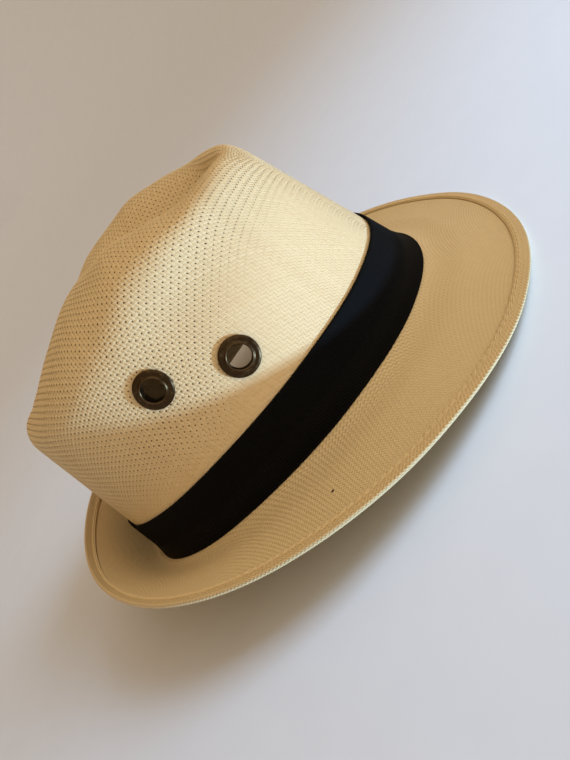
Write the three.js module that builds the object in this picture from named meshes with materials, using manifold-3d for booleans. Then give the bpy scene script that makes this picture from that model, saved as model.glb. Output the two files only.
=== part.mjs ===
// Straw fedora: a woven crown with a centre crease and front pinches, a brim turned down at the
// front and up at the back, a ribbon band and vent eyelets. Millimetres, +Z up. The front of the
// hat is -Y and the wearer's left is +X. Turns are degrees round the hat from the front.
import * as THREE from "three";
import { mergeVertices } from "three/addons/utils/BufferGeometryUtils.js";
import Module from "manifold-3d";

const wasm = await Module();
wasm.setup();

// Thicknesses and gaps.
const STRAW = 1.8; // wall of the crown and brim
const RIBBON = 1.0; // the band
const GAP = 0.3; // air between pieces that meet
const HEM = { width: 6.2, lift: 0.7, heel: 3.1, shoulder: 1.4 }; // turned edge of the brim

// The wall is an oval that narrows with height above the band's foot.
const WALL = { length: 102.2, width: 82.2, lengthTaper: 0.152, widthTaper: 0.1588, shift: -0.4 };
const SHOULDER_HEIGHT = 81.6; // the wall starts to turn over here
const BAND_HEIGHT = 25.7; // top of the band above its foot
const SEAM_HEIGHT = 13; // crown and brim meet here, behind the band
const CURL_HEIGHT = 9; // the wall starts to curl out into the brim here
const CURL_REACH = 0.22; // part of the brim's width that the curl takes
const BAND_END = 0.5; // part of the curl that the band covers

// Outlines seen from above: the band's foot and the brim's edge.
const FOOT = { length: 106, width: 88.2, shift: 0.1 };
const EDGE = { length: 130.1, width: 135.7, shift: -14.6 };

// Brim sections round the hat: height of the band's foot, height of the edge, depth of the curl.
const BRIM_ROWS = [
  { turn: 0, foot: -3.4, edge: -28.0, drop: 5.5 },
  { turn: 30, foot: -1.7, edge: -22.4, drop: 5.5 },
  { turn: 60, foot: 1.7, edge: -8.4, drop: 5.5 },
  { turn: 90, foot: 3.4, edge: 8.3, drop: 5.5 },
  { turn: 120, foot: 1.7, edge: 23.2, drop: 7.0 },
  { turn: 150, foot: -1.7, edge: 33.8, drop: 10.0 },
  { turn: 180, foot: -3.4, edge: 37.7, drop: 12.5 },
];

// Top of the crown along its length: height before the crease, depth and half-width of the crease.
const CREST_ROWS = [
  { y: -82, top: 97.8, depth: 3.5, spread: 10.6 },
  { y: -62, top: 100.8, depth: 24, spread: 15.9 },
  { y: -45, top: 108.7, depth: 19, spread: 19 },
  { y: -25, top: 116.3, depth: 15, spread: 20.3 },
  { y: 0, top: 115.5, depth: 4.5, spread: 20.1 },
  { y: 25, top: 109.1, depth: 4.2, spread: 19.4 },
  { y: 48, top: 100.8, depth: 4, spread: 17.6 },
  { y: 70, top: 94.6, depth: 1.7, spread: 15.6 },
];
const CREASE_FADE = 10; // the crease comes in over this height above the shoulder

// How squarely the wall turns into the top: 1 is an ellipse, smaller is squarer.
const SHOULDER_ROWS = [
  { turn: 0, power: 0.83 },
  { turn: 40, power: 0.42 },
  { turn: 90, power: 0.83 },
  { turn: 140, power: 0.81 },
  { turn: 180, power: 0.32 },
];

const PINCH = { turn: 59, height: 82.5, turnSpread: 21.3, heightSpread: 18.8, depth: 3.7 };

// Vent eyelets on the right side; the left pair mirrors them.
const EYELET_ROWS = [
  { name: "front", turn: 66, height: 49.1 },
  { name: "rear", turn: 86, height: 67.9 },
];
const EYELET = {
  hole: 5.1, barrel: 5.8, flange: 8.8, washer: 7.4, // radii
  seat: 0.25, dome: 1.5, lip: 2.1, back: -2.6, foot: -3.5, // heights off the wall
};
const EYELET_SIDES = 20;

const REST_TILT = 5.04; // the crown leans back this far when the hat lies on its brim

// Mesh steps.
const COLUMNS = 64;
const WALL_STEPS = [0, 0.2, 0.4, 0.6, 0.8];
const TOP_STEPS = [0, 0.03, 0.08, 0.16, 0.26, 0.36, 0.46, 0.56, 0.66, 0.75, 0.84, 0.92, 1];
const CURL_STEPS = [0, 0.25, 0.5, 0.75];
const BRIM_STEPS = [0, 0.28, 0.56];
const BAND_STEPS = [0, 0.4, 0.78, 1, 1.25];

const { clamp, degToRad, lerp } = THREE.MathUtils;

/** Reads a table's column with a smooth curve through its rows that never overshoots. */
function read(rows, key, column, at) {
  const last = rows.length - 1;
  const x = clamp(at, rows[0][key], rows[last][key]);
  let i = 0;
  while (i < last - 1 && x > rows[i + 1][key]) i += 1;
  const slope = (k) => (rows[k + 1][column] - rows[k][column]) / (rows[k + 1][key] - rows[k][key]);
  const tangent = (k) => {
    if (k === 0 || k === last) return 0;
    const before = slope(k - 1);
    const after = slope(k);
    return before * after > 0 ? (2 * before * after) / (before + after) : 0;
  };
  const span = rows[i + 1][key] - rows[i][key];
  const t = (x - rows[i][key]) / span;
  const s = 1 - t;
  const start = (1 + 2 * t) * s * s * rows[i][column] + t * s * s * span * tangent(i);
  const end = t * t * (3 - 2 * t) * rows[i + 1][column] - t * t * s * span * tangent(i + 1);
  return start + end;
}

/** Turn from the front on either side, 0 to 180. */
const sideTurn = (turn) => Math.abs(((turn + 540) % 360) - 180);

/** Point of an oval at a turn and a height. */
function onOval(oval, turn, height) {
  const angle = degToRad(turn);
  return new THREE.Vector3(
    oval.width * Math.sin(angle), oval.shift - oval.length * Math.cos(angle), height);
}

/** The wall's oval at a height. */
function wallOval(height) {
  return {
    length: WALL.length - WALL.lengthTaper * height,
    width: WALL.width - WALL.widthTaper * height,
    shift: WALL.shift,
  };
}

const brimRow = (column, turn) => read(BRIM_ROWS, "turn", column, sideTurn(turn));
const crestRow = (column, y) => read(CREST_ROWS, "y", column, y);

/** Outside of the crown: step 0 to 1 climbs the wall, 1 to 2 goes over the top to the crease. */
function crownPoint(turn, step) {
  const angle = degToRad(turn);
  const inward = Math.max(step - 1, 0);
  const power = read(SHOULDER_ROWS, "turn", "power", sideTurn(turn));
  const front = CREST_ROWS[0].y;
  const back = CREST_ROWS[CREST_ROWS.length - 1].y;
  const spineY = lerp(front, back, (1 - Math.cos(angle)) / 2);
  const fall = (1 - inward) ** (2 / power);
  const climb = (crestRow("top", spineY) - SHOULDER_HEIGHT) * (1 - fall) ** (power / 2);
  const seam = brimRow("foot", turn) + SEAM_HEIGHT;
  const height = lerp(seam, SHOULDER_HEIGHT, Math.min(step, 1)) + climb;

  const oval = wallOval(height);
  const point = onOval(oval, turn, height);
  const out = new THREE.Vector3(
    Math.sin(angle) / oval.width, -Math.cos(angle) / oval.length, 0).normalize();
  const pinchTurn = (sideTurn(turn) - PINCH.turn) / PINCH.turnSpread;
  const pinchHeight = (height - PINCH.height) / PINCH.heightSpread;
  point.addScaledVector(out, -PINCH.depth * Math.exp(-(pinchTurn ** 2) - pinchHeight ** 2));

  point.x = lerp(point.x, 0, inward);
  point.y = lerp(point.y, spineY, inward);
  const across = point.x / crestRow("spread", point.y);
  const fade = clamp((height - SHOULDER_HEIGHT) / CREASE_FADE, 0, 1);
  point.z -= fade * crestRow("depth", point.y) * Math.exp(-(across ** 2));
  return point;
}

/** Outside of the foot: step 0 to 1 comes down the wall, 1 to 2 curls out, 2 to 3 is the brim. */
function skirtPoint(turn, step) {
  const foot = brimRow("foot", turn);
  if (step <= 1) {
    const height = foot + lerp(BAND_HEIGHT, CURL_HEIGHT, step);
    return onOval(wallOval(height), turn, height);
  }
  const inner = onOval(FOOT, turn, foot);
  const edge = onOval(EDGE, turn, brimRow("edge", turn));
  const curlEnd = inner.clone().lerp(edge, CURL_REACH);
  if (step >= 2) return curlEnd.lerp(edge, step - 2);
  const curlStart = onOval(wallOval(foot + CURL_HEIGHT), turn, foot + CURL_HEIGHT);
  const corner = onOval(wallOval(foot), turn, foot - brimRow("drop", turn));
  return new THREE.QuadraticBezierCurve3(curlStart, corner, curlEnd).getPoint(step - 1);
}

/** Normal of a surface, from small steps each way round it and along it. */
function normalOf(surface, turn, step, from, to) {
  const round = surface(turn + 0.5, step).sub(surface(turn - 0.5, step));
  const ahead = surface(turn, Math.min(step + 0.004, to));
  const along = ahead.sub(surface(turn, Math.max(step - 0.004, from)));
  return round.cross(along).normalize();
}

/** Crown point moved outward; both sides meet along the crease, so it stays on the middle plane. */
function crownOffset(turn, step, lift) {
  const normal = normalOf(crownPoint, turn, Math.min(step, 1.99), 0, 2);
  if (step === 2) normal.setX(0).normalize();
  return crownPoint(turn, step).addScaledVector(normal, lift);
}

/** Skirt point moved outward from the wall and upward from the brim. */
function skirtOffset(turn, step, lift) {
  const normal = normalOf(skirtPoint, turn, step, 0, 3);
  return skirtPoint(turn, step).addScaledVector(normal, -lift);
}

/** Joins rings of points, in order, into one closed mesh; the last ring meets the first if looped. */
function loft(rings, looped) {
  const positions = [];
  const index = [];
  rings.forEach((ring) => ring.forEach((point) => positions.push(point.x, point.y, point.z)));
  const bands = looped ? rings.length : rings.length - 1;
  for (let r = 0; r < bands; r += 1) {
    for (let c = 0; c < COLUMNS; c += 1) {
      const a = r * COLUMNS + c;
      const b = r * COLUMNS + ((c + 1) % COLUMNS);
      const next = ((r + 1) % rings.length) - r;
      const d = a + next * COLUMNS;
      const e = b + next * COLUMNS;
      index.push(a, b, e, a, e, d);
    }
  }
  const geometry = new THREE.BufferGeometry();
  geometry.setAttribute("position", new THREE.Float32BufferAttribute(positions, 3));
  geometry.setIndex(index);
  return welded(geometry);
}

/** Merges shared vertices, drops faces with no area, and turns the faces outward. */
function welded(source) {
  const geometry = source.clone();
  geometry.deleteAttribute("normal");
  geometry.deleteAttribute("uv");
  const merged = mergeVertices(geometry, 1e-3);
  const points = merged.getAttribute("position");
  const corners = [0, 1, 2].map(() => new THREE.Vector3());
  let volume = 0;
  let kept = [];
  for (let i = 0; i < merged.index.count; i += 3) {
    const face = [0, 1, 2].map((k) => merged.index.getX(i + k));
    if (new Set(face).size < 3) continue;
    face.forEach((vertex, k) => corners[k].fromBufferAttribute(points, vertex));
    volume += corners[0].dot(corners[1].clone().cross(corners[2]));
    kept.push(face);
  }
  if (volume < 0) kept = kept.map(([a, b, c]) => [a, c, b]);
  merged.setIndex(kept.flat());
  merged.computeVertexNormals();
  return merged;
}

// Columns stand half a step off the front, so that flat facets face the front and the back.
const TURNS = Array.from({ length: COLUMNS }, (_, c) => ((c + 0.5) * 360) / COLUMNS);

const around = (place) => TURNS.map(place);
const backward = (list) => list.toReversed();

/** Straw crown: down the outside from the crease, then up the inside. */
function makeCrown() {
  const steps = [...WALL_STEPS, ...TOP_STEPS.map((step) => 1 + step)];
  const outside = backward(steps).map((step) => around((turn) => crownPoint(turn, step)));
  const inside = steps.map((step) => around((turn) => crownOffset(turn, step, -STRAW)));
  return loft([...outside, ...inside], false);
}

/** Step on the brim that lies a distance in from its edge. */
function fromEdge(turn, distance) {
  return 3 - distance / skirtPoint(turn, 2).distanceTo(skirtPoint(turn, 3));
}

/** Straw brim: out along the top, round the turned hem, and back underneath. */
function makeBrim() {
  const collar = (BAND_HEIGHT - SEAM_HEIGHT + GAP) / (BAND_HEIGHT - CURL_HEIGHT);
  const curl = CURL_STEPS.map((step) => 1 + step);
  const flat = BRIM_STEPS.map((step) => 2 + step);
  const steps = [collar, ...curl, ...flat];
  const over = steps.map((step) => around((turn) => skirtOffset(turn, step, 0)));
  const under = backward(steps).map((step) => around((turn) => skirtOffset(turn, step, -STRAW)));
  const thick = -STRAW - HEM.lift;
  const hemRows = [
    { inset: HEM.width + HEM.lift / 2, lift: 0 },
    { inset: HEM.width, lift: HEM.lift },
    { inset: HEM.shoulder, lift: HEM.lift },
    { inset: 0, lift: -STRAW / 2 },
    { inset: HEM.heel, lift: thick },
    { inset: HEM.width, lift: thick },
    { inset: HEM.width + HEM.lift / 2, lift: -STRAW },
  ];
  const hem = hemRows.map((row) =>
    around((turn) => skirtOffset(turn, fromEdge(turn, row.inset), row.lift)));
  return loft([...over, ...hem, ...under], true);
}

/** Ribbon band: down the outside of the wall onto the curl, and back up inside. */
function makeBand() {
  const steps = [...BAND_STEPS, 1 + BAND_END];
  const outside = steps.map((step) => around((turn) => skirtOffset(turn, step, GAP + RIBBON)));
  const inside = backward(steps).map((step) => around((turn) => skirtOffset(turn, step, GAP)));
  return loft([...outside, ...inside], true);
}

/** Eyelet section turned about its axis: a domed flange with a raised lip, a barrel and a washer. */
function makeEyelet() {
  const { hole, barrel, flange, washer, seat, dome, lip, back, foot } = EYELET;
  const section = [
    [hole, foot + 0.5], [hole + 0.5, foot], [washer - 0.4, foot], [washer, foot + 0.4],
    [washer, back], [barrel, back], [barrel, seat], [flange - 0.2, seat],
    [flange, seat + 0.4], [flange - 0.6, dome - 0.3], [flange - 1.6, dome], [barrel + 0.5, dome],
    [barrel + 0.2, lip], [hole + 0.3, lip], [hole, lip - 0.4], [hole, foot + 0.5],
  ];
  const points = section.map(([radius, height]) => new THREE.Vector2(radius, height));
  return welded(new THREE.LatheGeometry(points, EYELET_SIDES));
}

const asSolid = (geometry) => new wasm.Manifold(new wasm.Mesh({
  numProp: 3,
  vertProperties: geometry.getAttribute("position").array,
  triVerts: new Uint32Array(geometry.index.array),
}));

/** Cuts tools out of a piece. */
function cut(piece, tools) {
  const left = tools.reduce((solid, tool) => solid.subtract(asSolid(tool)), asSolid(piece));
  const mesh = left.getMesh();
  const geometry = new THREE.BufferGeometry();
  geometry.setAttribute("position", new THREE.Float32BufferAttribute(mesh.vertProperties, 3));
  geometry.setIndex(Array.from(mesh.triVerts));
  geometry.computeVertexNormals();
  return geometry;
}

const looks = {
  crown: { color: 0xefe2c4, roughness: 0.8, metalness: 0 },
  brim: { color: 0xcfae7e, roughness: 0.8, metalness: 0 },
  band: { color: 0x141414, roughness: 0.7, metalness: 0 },
  eyelet: { color: 0x6b5636, roughness: 0.4, metalness: 0.9 },
};

function piece(name, geometry, look) {
  const mesh = new THREE.Mesh(geometry, new THREE.MeshStandardMaterial(looks[look]));
  mesh.name = name;
  return mesh;
}

// Each eyelet stands on the wall with its axis square to it.
const eyeletGeometry = makeEyelet();
const eyelets = EYELET_ROWS.flatMap((row) => [-1, 1].map((side) => {
  const turn = side * row.turn;
  const seam = brimRow("foot", turn) + SEAM_HEIGHT;
  const step = (row.height - seam) / (SHOULDER_HEIGHT - seam);
  const mesh = piece(`eyelet_${side < 0 ? "right" : "left"}_${row.name}`, eyeletGeometry, "eyelet");
  const axis = normalOf(crownPoint, turn, step, 0, 2);
  mesh.position.copy(crownPoint(turn, step));
  mesh.quaternion.setFromUnitVectors(new THREE.Vector3(0, 1, 0), axis);
  mesh.updateMatrix();
  return mesh;
}));

const drill = welded(
  new THREE.CylinderGeometry(EYELET.barrel + GAP, EYELET.barrel + GAP, 12, EYELET_SIDES));
const holes = eyelets.map((eyelet) => drill.clone().applyMatrix4(eyelet.matrix));

const hat = new THREE.Group();
hat.add(piece("crown", cut(makeCrown(), holes), "crown"));
hat.add(piece("brim", makeBrim(), "brim"));
hat.add(piece("band", makeBand(), "band"));
hat.add(...eyelets);

// The hat lies on its brim, with its middle over the origin and its lowest points at height zero.
hat.rotation.x = degToRad(-REST_TILT);
const box = new THREE.Box3().setFromObject(hat, true);
const middle = box.getCenter(new THREE.Vector3());
hat.position.set(-middle.x, -middle.y, -box.min.z);

const fedora = new THREE.Group();
fedora.add(hat);

export default fedora;
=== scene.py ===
# %% [markdown]
# # A straw fedora
# This lesson dresses a packed hat. The solids of the hat are already the right size and in the
# right place, so they come in as a fixed frame, and every piece below is worked out from the same
# few driving sizes and laid over them. All shapes are numpy arrays: a surface is a function of two
# numbers, evaluated for a whole grid at once, and the grid goes into a Blender mesh in one step.

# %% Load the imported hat
import math

import bpy
import numpy as np
from mathutils import Matrix, Vector


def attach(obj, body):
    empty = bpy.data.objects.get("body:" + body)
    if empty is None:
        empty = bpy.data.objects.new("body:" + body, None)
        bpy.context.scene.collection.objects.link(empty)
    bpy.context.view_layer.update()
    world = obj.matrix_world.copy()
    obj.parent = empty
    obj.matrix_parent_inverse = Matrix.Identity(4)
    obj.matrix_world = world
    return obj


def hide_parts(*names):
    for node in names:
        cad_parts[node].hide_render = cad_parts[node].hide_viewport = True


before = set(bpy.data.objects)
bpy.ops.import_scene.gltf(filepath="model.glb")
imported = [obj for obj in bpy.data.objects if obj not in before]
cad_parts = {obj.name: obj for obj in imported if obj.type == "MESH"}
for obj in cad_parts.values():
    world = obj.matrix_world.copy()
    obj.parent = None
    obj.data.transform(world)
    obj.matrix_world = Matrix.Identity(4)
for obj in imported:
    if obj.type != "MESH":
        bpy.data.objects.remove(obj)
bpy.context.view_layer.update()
print("hat nodes:", sorted(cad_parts))

# %% [markdown]
# ## The sizes that drive the hat
# The front of the hat is -Y and the wearer's left is +X. A place round the hat is a turn in degrees
# from the front. Sizes are millimetres in the hat's own frame, where height zero is the foot of the
# band. Each table is a set of named columns, and a smooth curve reads between its rows.

# %% Driving sizes
STRAW = 1.8  # wall of the crown and brim
RIBBON = 1.0  # thickness of the band
GAP = 0.3  # air between pieces that meet

WALL_LENGTH, WALL_WIDTH = 102.2, 82.2  # half axes of the crown's oval at the band's foot
LENGTH_TAPER, WIDTH_TAPER = 0.152, 0.1588  # what the oval loses with height
WALL_SHIFT = -0.4
SHOULDER_HEIGHT = 81.6
BAND_HEIGHT = 25.7
SEAM_HEIGHT = 13
CURL_HEIGHT = 9
CURL_REACH = 0.22
CURL_RUN, BRIM_RUN, BEND_REACH = 16, 33, 7  # length of the curl, of the straight brim, of its bend
BEND_SAMPLES = 7
BAND_END = 0.5

FOOT = {"length": 106, "width": 88.2, "shift": 0.1}
EDGE = {"length": 130.1, "width": 135.7, "shift": -14.6}

BRIM_ROWS = {
    "turn": [0, 30, 60, 90, 120, 150, 180],
    "foot": [-3.4, -1.7, 1.7, 3.4, 1.7, -1.7, -3.4],
    "edge": [-28, -22.4, -8.4, 8.3, 23.2, 33.8, 37.7],
    "drop": [5.5, 5.5, 5.5, 5.5, 7, 10, 12.5],
}
CREST_ROWS = {
    "y": [-82, -62, -45, -25, 0, 25, 48, 70],
    "top": [97.8, 100.8, 108.7, 116.3, 115.5, 109.1, 100.8, 94.6],
    "depth": [3.5, 24, 19, 15, 4.5, 4.2, 4, 1.7],
    "spread": [10.6, 15.9, 19, 20.3, 20.1, 19.4, 17.6, 15.6],
}
CREASE_FADE = 10
SHOULDER_ROWS = {"turn": [0, 40, 90, 140, 180], "power": [0.83, 0.42, 0.83, 0.81, 0.32]}
PINCH_TURN, PINCH_HEIGHT, PINCH_DEPTH = 59, 82.5, 3.7
PINCH_TURN_SPREAD, PINCH_HEIGHT_SPREAD = 21.3, 18.8

REST_TILT = 5.04  # the crown leans back this far when the hat lies on its brim
REST_SHIFT = np.array([0, 13.1986, 15.9232])  # the hat's own origin, in the frame
MM = 0.001


def to_rest(points):
    """Hat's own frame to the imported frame: turn about X by the rest tilt, shift, mm to metres."""
    tilt = math.radians(REST_TILT)
    turn = np.array([
        [1, 0, 0],
        [0, math.cos(tilt), math.sin(tilt)],
        [0, -math.sin(tilt), math.cos(tilt)],
    ])
    return (points @ turn.T + REST_SHIFT) * MM


# %% [markdown]
# ## The crown and the brim as formulas
# The crown is an oval wall that narrows as it climbs, then turns over at the shoulder and runs
# inward to a ridge line. A Gaussian groove along the ridge makes the centre crease and two Gaussian
# dents make the front pinches. The brim comes down the wall, curls out on a quadratic curve, and
# runs straight to its edge, which is low at the front and high at the back.

# %% Surface formulas
def read(rows, key, column, at):
    """Cubic Hermite curve through a table's rows, with slopes that never overshoot."""
    x, y = np.array(rows[key], float), np.array(rows[column], float)
    slope = np.diff(y) / np.diff(x)
    product = slope[:-1] * slope[1:]
    rising = product > 0
    tangent = np.zeros_like(y)
    tangent[1:-1] = np.where(rising, 2 * product / np.where(rising, slope[:-1] + slope[1:], 1), 0)
    at = np.clip(at, x[0], x[-1])
    i = np.clip(np.searchsorted(x, at) - 1, 0, len(x) - 2)
    span = x[i + 1] - x[i]
    t = (at - x[i]) / span
    s = 1 - t
    start = (1 + 2 * t) * s * s * y[i] + t * s * s * span * tangent[i]
    return start + t * t * (3 - 2 * t) * y[i + 1] - t * t * s * span * tangent[i + 1]


def side_turn(turn):
    """Turn from the front on either side, 0 to 180."""
    return np.abs((np.asarray(turn, float) + 540) % 360 - 180)


def together(turn, step):
    """Turns and steps as arrays of one shape."""
    return np.broadcast_arrays(np.asarray(turn, float), np.asarray(step, float))


def unit(vectors):
    return vectors / np.linalg.norm(vectors, axis=-1, keepdims=True)


def brim_row(column, turn):
    return read(BRIM_ROWS, "turn", column, side_turn(turn))


def on_oval(oval, turn, height):
    """Point of an oval: width times sine, shift minus length times cosine, at a height."""
    angle = np.radians(turn)
    x = oval["width"] * np.sin(angle)
    y = oval["shift"] - oval["length"] * np.cos(angle)
    return np.stack(np.broadcast_arrays(x, y, height), -1)


def wall_oval(height):
    length = WALL_LENGTH - LENGTH_TAPER * height
    return {"length": length, "width": WALL_WIDTH - WIDTH_TAPER * height, "shift": WALL_SHIFT}


def spine_y(turn):
    """Where the meridian at a turn reaches the ridge line: from its front end to its back end."""
    front, back = CREST_ROWS["y"][0], CREST_ROWS["y"][-1]
    return front + (back - front) * (1 - np.cos(np.radians(turn))) / 2


def crown_point(turn, step):
    """Outside of the crown. Step 0 to 1 climbs the wall; 1 to 2 runs inward to the ridge line on a
    superellipse arc, less the pinch dents along the wall's normal and the crease below the ridge."""
    turn, step = together(turn, step)
    angle = np.radians(turn)
    inward = np.maximum(step - 1, 0)
    power = read(SHOULDER_ROWS, "turn", "power", side_turn(turn))
    spine = spine_y(turn)
    rise = (1 - (1 - inward) ** (2 / power)) ** (power / 2)
    seam = brim_row("foot", turn) + SEAM_HEIGHT
    height = seam + (SHOULDER_HEIGHT - seam) * np.minimum(step, 1)
    height = height + (read(CREST_ROWS, "y", "top", spine) - SHOULDER_HEIGHT) * rise

    oval = wall_oval(height)
    point = on_oval(oval, turn, height)
    out = unit(np.stack([np.sin(angle) / oval["width"], -np.cos(angle) / oval["length"]], -1))
    away = (side_turn(turn) - PINCH_TURN) / PINCH_TURN_SPREAD
    above = (height - PINCH_HEIGHT) / PINCH_HEIGHT_SPREAD
    dent = PINCH_DEPTH * np.exp(-(away ** 2) - above ** 2)
    x = (point[..., 0] - dent * out[..., 0]) * (1 - inward)
    y = point[..., 1] - dent * out[..., 1]
    y = y + (spine - y) * inward
    fade = np.clip((height - SHOULDER_HEIGHT) / CREASE_FADE, 0, 1)
    groove = np.exp(-((x / read(CREST_ROWS, "y", "spread", y)) ** 2))
    return np.stack([x, y, height - fade * read(CREST_ROWS, "y", "depth", y) * groove], -1)


def skirt_line(turn, step):
    """Outside of the foot. Step 0 to 1 comes down the wall, 1 to 2 is a quadratic curl, and 2 to 3
    is a straight line to the brim's edge."""
    turn, step = together(turn, step)
    foot = brim_row("foot", turn)
    height = foot + BAND_HEIGHT + (CURL_HEIGHT - BAND_HEIGHT) * np.clip(step, 0, 1)
    wall = on_oval(wall_oval(height), turn, height)
    start = on_oval(wall_oval(foot + CURL_HEIGHT), turn, foot + CURL_HEIGHT)
    corner = on_oval(wall_oval(foot), turn, foot - brim_row("drop", turn))
    edge = on_oval(EDGE, turn, brim_row("edge", turn))
    inner = on_oval(FOOT, turn, foot)
    end = inner + (edge - inner) * CURL_REACH
    t = np.clip(step - 1, 0, 1)[..., None]
    curl = (1 - t) ** 2 * start + 2 * t * (1 - t) * corner + t ** 2 * end
    flat = end + (edge - end) * np.clip(step - 2, 0, 1)[..., None]
    place = step[..., None]
    return np.where(place <= 1, wall, np.where(place <= 2, curl, flat))


def skirt_point(turn, step):
    """The same with a soft bend: near step 2 a point is the mean of the line a few mm either way."""
    turn, step = together(turn, step)
    run = (step - 2) * np.where(step < 2, CURL_RUN, BRIM_RUN)
    reach = BEND_REACH * np.clip(2 - np.abs(run) / BEND_REACH, 0, 1)
    total = 0
    for part in np.linspace(-1, 1, BEND_SAMPLES):
        moved = run + part * reach
        place = 2 + moved / np.where(moved < 0, CURL_RUN, BRIM_RUN)
        total = total + skirt_line(turn, place) / BEND_SAMPLES
    return total


SLOPE_TURN, SLOPE_STEP = 0.4, 0.004  # degrees and steps either way, to read a slope


def skirt_normal(turn, step):
    """Outward and upward normal of the skirt, from small steps round it and along it."""
    turn, step = together(turn, step)
    around = skirt_point(turn + SLOPE_TURN, step) - skirt_point(turn - SLOPE_TURN, step)
    ahead = skirt_point(turn, np.minimum(step + SLOPE_STEP, 3))
    along = ahead - skirt_point(turn, np.maximum(step - SLOPE_STEP, 0))
    return unit(np.cross(along, around))


def skirt_offset(turn, step, lift):
    lift = np.asarray(lift, float)
    return skirt_point(turn, step) + skirt_normal(turn, step) * lift[..., None]


print("crown height in mm:", crown_point(90, 2).round(1), "brim front:", skirt_point(0, 3).round(1))

# %% [markdown]
# ## Where the camera stands
# The photograph looks at the hat's right side from a little above, with the camera rolled over, so
# that the front of the brim points up to the right. A camera is a place and three directions: its
# right, its up, and the way it looks. They are worked out in the hat's own frame and carried over.

# %% Camera
CAMERA_AZIMUTH, CAMERA_ELEVATION, CAMERA_ROLL = -65.87, 20.62, -55.83  # degrees
CAMERA_DISTANCE = 384.97  # mm from the hat's own origin, along the view
FOCAL_PIXELS = 739.5
FRAME_WIDTH, FRAME_HEIGHT = 570, 760  # pixels
ORIGIN_PIXEL = np.array([271.23, 394.06])  # where the hat's own origin falls in the picture
SENSOR = 36  # mm along the longer side


def camera_axes(azimuth, elevation, roll):
    """Right, down and forward of a camera that looks at the origin, as the rows of a matrix."""
    a, e, r = np.radians([azimuth, elevation, roll])
    forward = -np.array([math.sin(a) * math.cos(e), -math.cos(a) * math.cos(e), math.sin(e)])
    right = unit(np.cross(forward, [0, 0, 1]))
    down = np.cross(forward, right)
    rolled = math.cos(r) * right - math.sin(r) * down
    return np.stack([rolled, math.sin(r) * right + math.cos(r) * down, forward])


def place_camera():
    axes = camera_axes(CAMERA_AZIMUTH, CAMERA_ELEVATION, CAMERA_ROLL)
    middle = np.array([FRAME_WIDTH, FRAME_HEIGHT]) / 2
    aside = (ORIGIN_PIXEL - middle) * CAMERA_DISTANCE / FOCAL_PIXELS
    eye = -(np.array([*aside, CAMERA_DISTANCE]) @ axes)
    eye, right, down, forward = to_rest(np.stack([eye, *(eye + axes)]))
    columns = np.stack([right - eye, eye - down, eye - forward], -1) / MM
    camera = bpy.data.objects.new("camera", bpy.data.cameras.new("camera"))
    camera.data.sensor_width = SENSOR
    camera.data.lens = FOCAL_PIXELS * SENSOR / FRAME_HEIGHT
    camera.data.clip_start = 0.01
    camera.matrix_world = Matrix.Translation(Vector(eye)) @ Matrix(columns.tolist()).to_4x4()
    bpy.context.scene.collection.objects.link(camera)
    bpy.context.scene.camera = camera
    return camera


camera = place_camera()
print("camera at", [round(x, 3) for x in camera.matrix_world.translation])

# %% [markdown]
# ## From a grid to a mesh
# Every piece uses the same two steps. One makes the quads of a grid, with its rows or columns
# joined into a loop where asked. The other puts points, quads and texture coordinates into a mesh
# with foreach_set. A piece's object stays at the origin, and its place is in its points.

# %% Grid and mesh helpers
def grid_quads(rows, columns, loop_rows=False, loop_columns=False):
    """Corners of each quad as (row, column), before and after the loops are joined."""
    r, c = np.meshgrid(
        np.arange(rows if loop_rows else rows - 1),
        np.arange(columns if loop_columns else columns - 1), indexing="ij")
    corner_rows = np.stack([r, r, r + 1, r + 1], -1).reshape(-1, 4)
    corner_columns = np.stack([c, c + 1, c + 1, c], -1).reshape(-1, 4)
    faces = (corner_rows % rows) * columns + corner_columns % columns
    return faces, corner_rows, corner_columns


def weld(points, faces, step=1e-4):
    """Joins points that share a place; a quad that loses a corner is kept as a triangle."""
    _, first, same = np.unique(
        np.round(points / step).astype(np.int64), axis=0, return_index=True, return_inverse=True)
    return points[first], same.reshape(-1)[faces]


FLOOR_CLEAR = 0.00005  # metres; the hem is pressed flat where the hat rests


def even_turns(count):
    """Turns at equal steps round the hat, half a step off the front."""
    return (np.arange(count) + 0.5) * 360 / count


def make_piece(name, points, faces, uv=None, tone=None):
    """Mesh object from points in the hat's own frame, quads, corner coordinates and point tones."""
    points, faces = np.reshape(points, (-1, 3)), np.asarray(faces)
    repeated = faces == np.roll(faces, -1, axis=1)
    keep = ~repeated | (repeated.sum(1, keepdims=True) == 0)
    sizes = keep.sum(1)
    whole = sizes >= 3
    keep &= whole[:, None]
    sizes = sizes[whole]
    places = to_rest(points)
    places[:, 2] = np.maximum(places[:, 2], FLOOR_CLEAR)
    mesh = bpy.data.meshes.new(name)
    mesh.vertices.add(len(points))
    mesh.vertices.foreach_set("co", places.astype(np.float32).ravel())
    mesh.loops.add(int(sizes.sum()))
    mesh.loops.foreach_set("vertex_index", faces[keep].astype(np.int32))
    mesh.polygons.add(len(sizes))
    starts = np.concatenate([[0], np.cumsum(sizes)[:-1]]).astype(np.int32)
    mesh.polygons.foreach_set("loop_start", starts)
    mesh.polygons.foreach_set("use_smooth", np.ones(len(sizes), bool))
    if uv is not None:
        layer = mesh.uv_layers.new(name="cloth")
        layer.data.foreach_set("uv", uv[keep].astype(np.float32).ravel())
    if tone is not None:
        layer = mesh.attributes.new("tone", "FLOAT", "POINT")
        layer.data.foreach_set("value", tone.astype(np.float32))
    mesh.update(calc_edges=True)
    mesh.validate()
    piece = bpy.data.objects.new(name, mesh)
    bpy.context.scene.collection.objects.link(piece)
    print(f"{name}: {len(points)} points, {int((sizes - 2).sum())} triangles")
    return piece


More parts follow.
